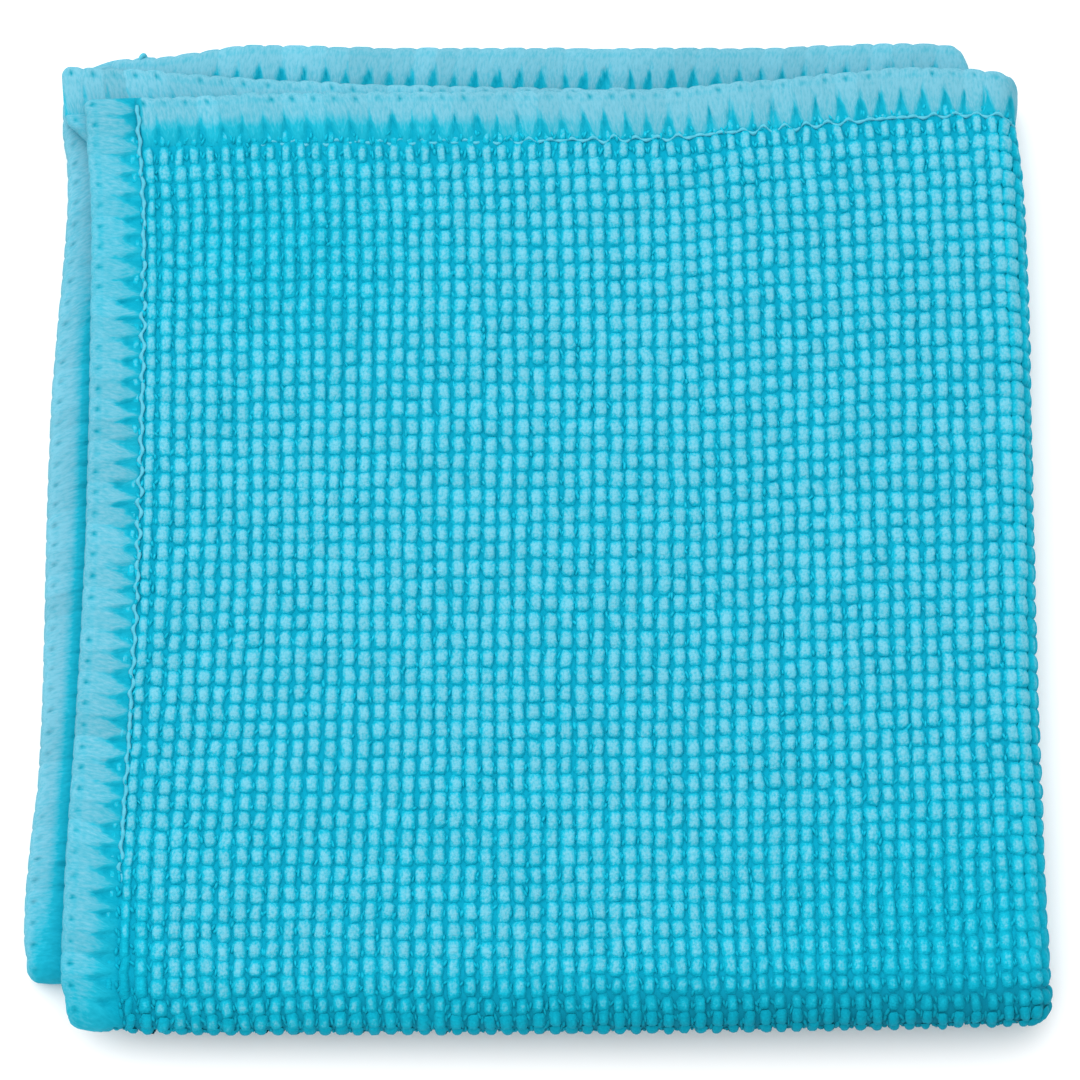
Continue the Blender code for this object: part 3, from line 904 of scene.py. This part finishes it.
def hem_strip(way, start, stop, full_at, taper, fading, pitted, matted, luck):
    """One hem in flat terms: along its edge, in from the edge, height, place in the yarn, rise, own.

    The fans are full up to full_at from the edge, and taper gives their share of a stitch at
    the needle and how late they widen. Their pile fades past full_at, and they are pitted at
    the edge, by shares for places along the hem. Where matted is -1 or 1, the fans are matted
    shut near the start or the stop.
    """
    at_needle, lateness = taper
    stitches = round((stop - start) / STITCH_PITCH)
    run = np.linspace(0, stitches, stitches * STITCH_STEPS + 1)[:, None]
    section = np.concatenate([HEM_SECTION, HEM_SECTION[-2::-1] * (1, -1)]) * MM
    inward, half = section[None, :, 0], section[None, :, 1]

    sway = np.interp(run, np.arange(stitches + 1), luck.normal(0, FAN_SWAY, stitches + 1))
    slanted = run + (FAN_SLANT + sway) * (inward / HEM_WIDTH - 0.5)
    number = np.clip(np.floor(slanted), 0, stitches - 1).astype(int)
    off_line, lateness_own, tone_own, length_own, pit_own = np.moveaxis(
        luck.normal(0, 1, (stitches, 5))[number], -1, 0
    )
    local = slanted - number - 0.5
    away = np.abs(local + FAN_OFF_LINE * off_line)

    fan_end = full_at * (1 + FAN_LENGTH_UNLIKE * length_own).clip(0.8, 1.25)
    fan_share = np.clip((HEM_WIDTH - inward) / (HEM_WIDTH - fan_end), 0, 1)
    widens = fan_share ** (lateness + FAN_LATENESS_UNLIKE * lateness_own).clip(0.5)
    reach = at_needle + (FAN_WIDEST - at_needle) * widens
    edge_of_fan = 1 - ease(*FAN_SHUT, fan_share)
    if matted:
        from_end = run * STITCH_PITCH if matted < 0 else (stitches - run) * STITCH_PITCH
        edge_of_fan = edge_of_fan * ease(MATTED - MATTED_FADES, MATTED, from_end)
    gap = ease(reach + GAP_STARTS, reach + GAP_ENDS, away) * edge_of_fan
    thinning = ease(reach + THINNING_STARTS, reach + THINNING_ENDS, away) * edge_of_fan
    thinning = thinning * (THINNING_SHARE[0] + THINNING_SHARE[1] * off_line).clip(0.3, 1)
    groove = np.exp(-(((0.5 - away) / GROOVE_HALF) ** 2)) * ease(*GROOVE_SHOWS, inward)
    pit = np.exp(-(((inward - PIT_IN) / PIT_SIZE[1]) ** 2) - (local * STITCH_PITCH / PIT_SIZE[0]) ** 2)
    length = np.broadcast_to(run / stitches * (stop - start) + start, slanted.shape)
    pit = pit * (PIT_SHARE[0] + PIT_SHARE[1] * pit_own).clip(0.2, 1) * np.interp(length, *zip(*pitted))
    spread = local / np.maximum(reach, 0.15) * 0.5
    strand = np.cos(2 * math.pi * FAN_STRANDS * spread + 2 * length_own) * ease(*STRANDS_SHOW, inward)

    thick = np.abs(half) + STRAND_DEPTH * strand + YARN_UNLIKE * tone_own
    thick = thick - (thick - FAN_FLOOR).clip(0) * gap
    thick = thick - GROOVE_DEPTH * groove * (1 - gap) - PIT_DEPTH * pit
    thick = np.where(half == 0, 0, thick.clip(YARN_LEAST))
    drawn_in = np.abs(2 * local) ** 3
    scallop = SCALLOP[way] * (1.2 * drawn_in + 0.35 * lateness_own * (1 - drawn_in))
    scallop = scallop + luck.normal(0, FUZZ, inward.shape)
    set_in = inward + scallop * ease(-SCALLOP_REACH, 0, -inward)
    past_full = ease(*(full_at + np.array(PILE_FADES)), inward * (1 + FAN_OFF_LINE * length_own))
    faded = np.interp(length, *zip(*fading)) * past_full

    fluffed = ((np.abs(half) - YARN_FLAT) / (YARN_FULL - YARN_FLAT)).clip(0.15, 1)
    # Painted shade: the rise is lowered in the grooves, in the pits and along a line by the pits, and
    # the tone darkened in the pits.
    rise = fluffed * (1 - GROOVE_SHADE * groove) * (1 - thinning)
    rise = np.where(inward < PIT_IN, np.maximum(rise, 0.95), rise * (1 - faded))
    rise = rise * (1 - PIT_SHADE * pit) + STRAND_RISE * strand
    rise = rise - PIT_LINE_SHADE * np.exp(-(((inward - PIT_LINE_IN) / PIT_LINE_HALF) ** 2))
    fibre = np.stack(np.broadcast_arrays((number + 0.5 + spread) * STITCH_PITCH, inward, half), axis=-1)
    tone = (YARN_TONE[0] + YARN_TONE[1] * tone_own) * (1 - 0.9 * pit)
    return length, set_in, np.sign(half) * thick, fibre, rise, tone


def overlock(material):
    """The yarn of the four hems, as one joined mesh."""
    luck = np.random.default_rng(21)
    points, faces, fibres, rises, owns = [], [], [], [], []
    trimmed = HALF_SIDE - SIDE_HEM_WIDTH
    by_notch = trimmed - NOTCH_FROM_SIDE_HEM
    even, a_little = ((0, 1.0),), ((0, 0.10),)
    top_fading, back_pits = ((60 * MM, 0.12), (95 * MM, 0.50)), ((-20 * MM, 0.20), (20 * MM, 1.0))
    for way, side, start, stop, full_at, taper, fading, pitted, matted in [
        # direction of the edge, side of the cloth, start, stop, and what hem_strip asks for
        ("along", 1, 4 * MM - HALF_SIDE, HALF_SIDE, 5.2 * MM, (0.13, 1.6), a_little, even, -1),
        ("along", -1, -HALF_SIDE, trimmed, 6.0 * MM, (0.23, 1.3), a_little, even, 0),
        ("across", 1, -HALF_SIDE, by_notch, 4.8 * MM, (0.23, 1.3), top_fading, even, 0),
        ("across", -1, -trimmed, HALF_SIDE, 4.6 * MM, (0.23, 1.3), a_little, back_pits, 1),
    ]:
        run, inward, height, fibre, rise, own = hem_strip(
            way, start, stop, full_at, taper, fading, pitted, matted, luck
        )
        t = np.clip(1 - np.minimum(run - start, stop - run) / HEM_END_ROUND, 0, 1)
        height = height * np.sqrt(1 - t * t)
        if matted < 0:
            height = height * ease(0, MATTED_START, run - start)
        edge = side * (HALF_SIDE - inward)
        across, along = (edge, run) if way == "along" else (run, edge)
        places = fold(across, along, height)
        places[..., 2] = np.maximum(places[..., 2], ABOVE_FLOOR)
        quads = grid_faces(*rise.shape) + sum(len(part) for part in points)
        faces.append(quads[:, ::-1] if (side > 0) == (way == "along") else quads)
        points.append(places.reshape(-1, 3))
        fibres.append(fibre.reshape(-1, 3))
        if way == "along" and side < 0:
            upper_edge = read_table(ALONG, LEAF_1, np.abs(along) / HALF_SIDE) - PILE_MIDDLE[0]
            # Painted shade in a band beside the upper pair's edge, and painted light that lifts the
            # whole strip.
            shade_by_upper = ease(*SHADE_BY_UPPER_BESIDE, places[..., 0] - upper_edge)
            shade_by_upper = shade_by_upper * (1 - ease(*SHADE_BY_UPPER_UP_TO, places[..., 1]))
            rise = (1 - STRIP_FANS + STRIP_FANS * rise) * (1 - SHADE_BY_UPPER * shade_by_upper)
            own = own + STRIP_PAINTED_LIGHT
        if way == "along" and side > 0:
            rise = rise * LEFT_HEM_RISE
        if way == "across" and side > 0:
            # Painted shade: a dark notch at the end of the top hem.
            notch_shade = ease(stop - NOTCH_SHADE_LENGTH, stop - NOTCH_SHADE_LENGTH / 3, run) * (1 - ease(*NOTCH_SHADE_ENDS, inward))
            rise = rise * (1 - NOTCH_SHADE["rise"] * notch_shade)
            own = own * (1 - NOTCH_SHADE["own"] * notch_shade)
        # The patches of painted shade lower the yarn's rise too.
        rises.append((rise * standing_and_lit(places)).ravel())
        owns.append(own.ravel())
    piece = new_piece("overlock_yarn", np.concatenate(points), np.concatenate(faces), material)
    paint(piece, np.concatenate(fibres), np.concatenate(rises), np.concatenate(owns))
    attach(piece, "root")
    return piece


yarn_finish = microfibre(
    "overlock_turquoise",
    YARN_DEEP, YARN_BODY, YARN_TIP,
    gap=1.8 * MM, shut=0.20, open_at=0.70, ragged=0.40,
    fineness=2600.0, clump=500.0, bump=0.35, bump_depth=0.22 * MM,
)
overlock_yarn = overlock(yarn_finish)


# ---------------------------------------------------------------------------------------
# The needle thread
# The thinner thread that locks the yarn along the inner side of the hem, on both faces. It
# swings from stitch to stitch, is lost in the pile at the front of the left hem and at the left
# of the top one, and its end stands out of the back hem as a short tail.

THREAD_RADIUS = {"along": 0.38 * MM, "across": 0.30 * MM}
THREAD_SWING = {"along": 0.26 * MM, "across": 0.38 * MM}
THREAD_STEPS = 8
THREAD_SIDES = 5
THREAD_LINE = 9.05 * MM
THREAD_HEIGHT = 0.70 * MM
THREAD_DIP = {"along": 0.22 * MM, "across": 0.34 * MM}
THREAD_SWING_UNLIKE = 0.60
THREAD_LOST = 0.90 * MM
THREAD_SHOWS = (18 * MM, 30 * MM)
THREAD_SINKS = np.array([
    # from, to, along the top hem, share of THREAD_LOST
    (75 * MM, 95 * MM, 0.33),
    (126 * MM, 138 * MM, 0.67),
])
THREAD_RUN_ON = 7.2 * MM
THREAD_FULL, THREAD_NIPPED = 1.10, 0.30
THREAD_RISE = 0.85
THREAD_TONE = 0.80
THREAD_BODY = (0.010, 0.415, 0.555, 1.0)
THREAD_TIP = (0.115, 0.445, 0.565, 1.0)
TAIL = np.array([
    # across the back, out past the hem, height, in mm
    (0.0, -2.4, 3.8),
    (0.1, -1.0, 5.2),
    (0.5, 0.1, 5.9),
    (1.0, 0.6, 5.8),
    (1.3, 0.3, 5.2),
    (1.1, -0.2, 4.8),
])
TAIL_FOOT = (-67.5 * MM, 82.2 * MM)
TAIL_STEPS = 31
TAIL_SMOOTHING = 5
TAIL_ROOT, TAIL_TAPER = 1.4, 1.1
TAIL_THINS = (26, 30)
TAIL_SIDE = (0.3, 0.2, 1.0)


def thread_tube(path, sideways, out, radius):
    """Points and faces of a thread along a path."""
    turn = np.arange(THREAD_SIDES) / THREAD_SIDES * 2 * math.pi
    ring = path[:, None] + radius[:, None, None] * (
        np.cos(turn)[None, :, None] * sideways[:, None] + np.sin(turn)[None, :, None] * out[:, None]
    )
    here = np.arange(THREAD_SIDES)
    after = (here + 1) % THREAD_SIDES
    one = np.stack([here, after, after + THREAD_SIDES, here + THREAD_SIDES], axis=1)
    faces = (one[None] + np.arange(len(path) - 1)[:, None, None] * THREAD_SIDES).reshape(-1, 4)
    return ring.reshape(-1, 3), faces


def tail_tube():
    """Points and faces of the loose end, smoothed and tapered to its tip."""
    run = np.linspace(0, len(TAIL) - 1, TAIL_STEPS)
    tail = [np.interp(run, np.arange(len(TAIL)), TAIL[:, axis]) for axis in range(3)]
    tail = np.stack(tail, axis=1) * MM
    ends = TAIL_SMOOTHING // 2
    shifted = [tail[k : len(tail) - 2 * ends + k] for k in range(TAIL_SMOOTHING)]
    tail[ends:-ends] = sum(shifted) / TAIL_SMOOTHING
    way = np.gradient(tail, axis=0)
    sideways = np.cross(way, TAIL_SIDE)
    sideways /= np.linalg.norm(sideways, axis=1, keepdims=True)
    out = np.cross(sideways, way)
    out /= np.linalg.norm(out, axis=1, keepdims=True)
    taper = TAIL_ROOT - TAIL_TAPER * ease(*TAIL_THINS, np.arange(TAIL_STEPS))
    return thread_tube(tail + (*TAIL_FOOT, 0), sideways, out, THREAD_RADIUS["across"] * taper)


def needle_thread(material):
    """The chain of needle thread on both faces of the four hems."""
    luck = np.random.default_rng(41)
    points, faces, fibres = [], [], []
    inner = HALF_SIDE - THREAD_LINE
    lines = [(way, side, face) for way in ("along", "across") for side in (1, -1) for face in (1, -1)]
    for way, side, face in lines:
        run_on = THREAD_RUN_ON * (way == "along" and side > 0)
        stitches = round((2 * inner + run_on) / STITCH_PITCH)
        run = np.linspace(-inner, inner + run_on, stitches * THREAD_STEPS + 1)
        beat = np.linspace(0, stitches, stitches * THREAD_STEPS + 1) * 2 * math.pi
        swings = luck.normal(1, THREAD_SWING_UNLIKE, stitches + 1)
        swing = np.interp(beat, np.arange(stitches + 1) * 2 * math.pi, swings)
        edge = side * (inner - THREAD_SWING[way] * swing * np.sin(beat))
        across, along = (edge, run) if way == "along" else (run, edge)
        if way == "along":
            lost = 1 - ease(*THREAD_SHOWS, np.abs(run))
        else:
            sinks = sum(share * ease(start, stop, run) for start, stop, share in THREAD_SINKS)
            lost = (side > 0) * sinks
        stands = THREAD_HEIGHT - THREAD_DIP[way] * np.cos(beat) ** 4 - THREAD_LOST * lost
        climb = np.interp(HALF_SIDE - run, HEM_SECTION[::-1, 0] * MM, HEM_SECTION[::-1, 1] * MM)
        stands = stands + (climb - FAN_FLOOR).clip(0) * (run > inner)
        height = face * np.maximum(stands, 0)
        path, u, v, out = cloth_frame(across, along, height)
        radius = THREAD_RADIUS[way] * (THREAD_FULL - THREAD_NIPPED * np.cos(beat) ** 2)
        ring, quads = thread_tube(path, u if way == "along" else v, out, radius)
        ring[..., 2] = np.maximum(ring[..., 2], ABOVE_FLOOR)
        faces.append(quads + sum(len(part) for part in points))
        points.append(ring)
        round_it = np.tile(np.arange(THREAD_SIDES) * THREAD_RADIUS[way], len(run))
        along_it = np.repeat(run, THREAD_SIDES)
        fibres.append(np.stack([round_it, along_it, np.zeros(len(ring))], axis=1))
    ring, quads = tail_tube()
    faces.append(quads + sum(len(part) for part in points))
    points.append(ring)
    fibres.append(ring)
    piece = new_piece("needle_thread", np.concatenate(points), np.concatenate(faces), material)
    count = len(piece.data.vertices)
    paint(piece, np.concatenate(fibres), np.full(count, THREAD_RISE), np.full(count, THREAD_TONE))
    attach(piece, "root")
    return piece


thread_finish = microfibre(
    "needle_thread_turquoise",
    YARN_DEEP, THREAD_BODY, THREAD_TIP,
    gap=1.0 * MM, shut=0.05, open_at=0.50, ragged=0.30,
    fineness=2600.0, clump=900.0, bump=0.3, bump_depth=0.10 * MM,
)
needle_line = needle_thread(thread_finish)


# ---------------------------------------------------------------------------------------
# The floor, the light and the camera
# A plain white floor, a large soft light over the back left, and a camera that looks down on
# the cloth from the front, as in the photograph.

FLOOR_HALF = 3.0
SKY_STRENGTH = 0.90
KEY_PLACE = (-0.30, 0.35, 1.05)
KEY_SIZE = 1.8
KEY_POWER = 17.0
CAMERA_ELEVATION = math.radians(75)
CAMERA_DISTANCE = 0.780
FRAME_WIDTH = 0.1782
SENSOR = 36.0

floor_material = bpy.data.materials.new("white_floor")
floor_material.use_nodes = True
floor_shader = floor_material.node_tree.nodes["Principled BSDF"]
floor_shader.inputs["Base Color"].default_value = (0.93, 0.93, 0.93, 1.0)
floor_shader.inputs["Roughness"].default_value = 0.9
floor_shader.inputs["Specular IOR Level"].default_value = 0.0
corners = np.array([(-1, -1, 0), (1, -1, 0), (1, 1, 0), (-1, 1, 0)]) * FLOOR_HALF
floor = new_piece("floor", corners, np.array([(0, 1, 2, 3)]), floor_material)

world = bpy.data.worlds.new("studio")
world.use_nodes = True
world.node_tree.nodes["Background"].inputs["Color"].default_value = (1.0, 1.0, 1.0, 1.0)
world.node_tree.nodes["Background"].inputs["Strength"].default_value = SKY_STRENGTH
bpy.context.scene.world = world

lamp = bpy.data.lights.new("key", "AREA")
lamp.size = KEY_SIZE
lamp.energy = KEY_POWER
key_light = bpy.data.objects.new("key", lamp)
key_light.location = KEY_PLACE
key_light.rotation_euler = (-Vector(KEY_PLACE)).to_track_quat("-Z", "Y").to_euler()
put_in_scene(key_light)

camera_data = bpy.data.cameras.new("camera")
camera_data.sensor_width = SENSOR
camera_data.lens = SENSOR * CAMERA_DISTANCE / FRAME_WIDTH
camera = bpy.data.objects.new("camera", camera_data)
look_at = np.array([-PILE_MIDDLE[0], -PILE_MIDDLE[1], MIDDLE_HEIGHT])
back = np.array([0.0, -math.cos(CAMERA_ELEVATION), math.sin(CAMERA_ELEVATION)])
camera.location = look_at + back * CAMERA_DISTANCE
camera.rotation_euler = (math.pi / 2 - CAMERA_ELEVATION, 0.0, 0.0)
put_in_scene(camera)
bpy.context.scene.camera = camera
bpy.context.scene.view_settings.view_transform = "Standard"
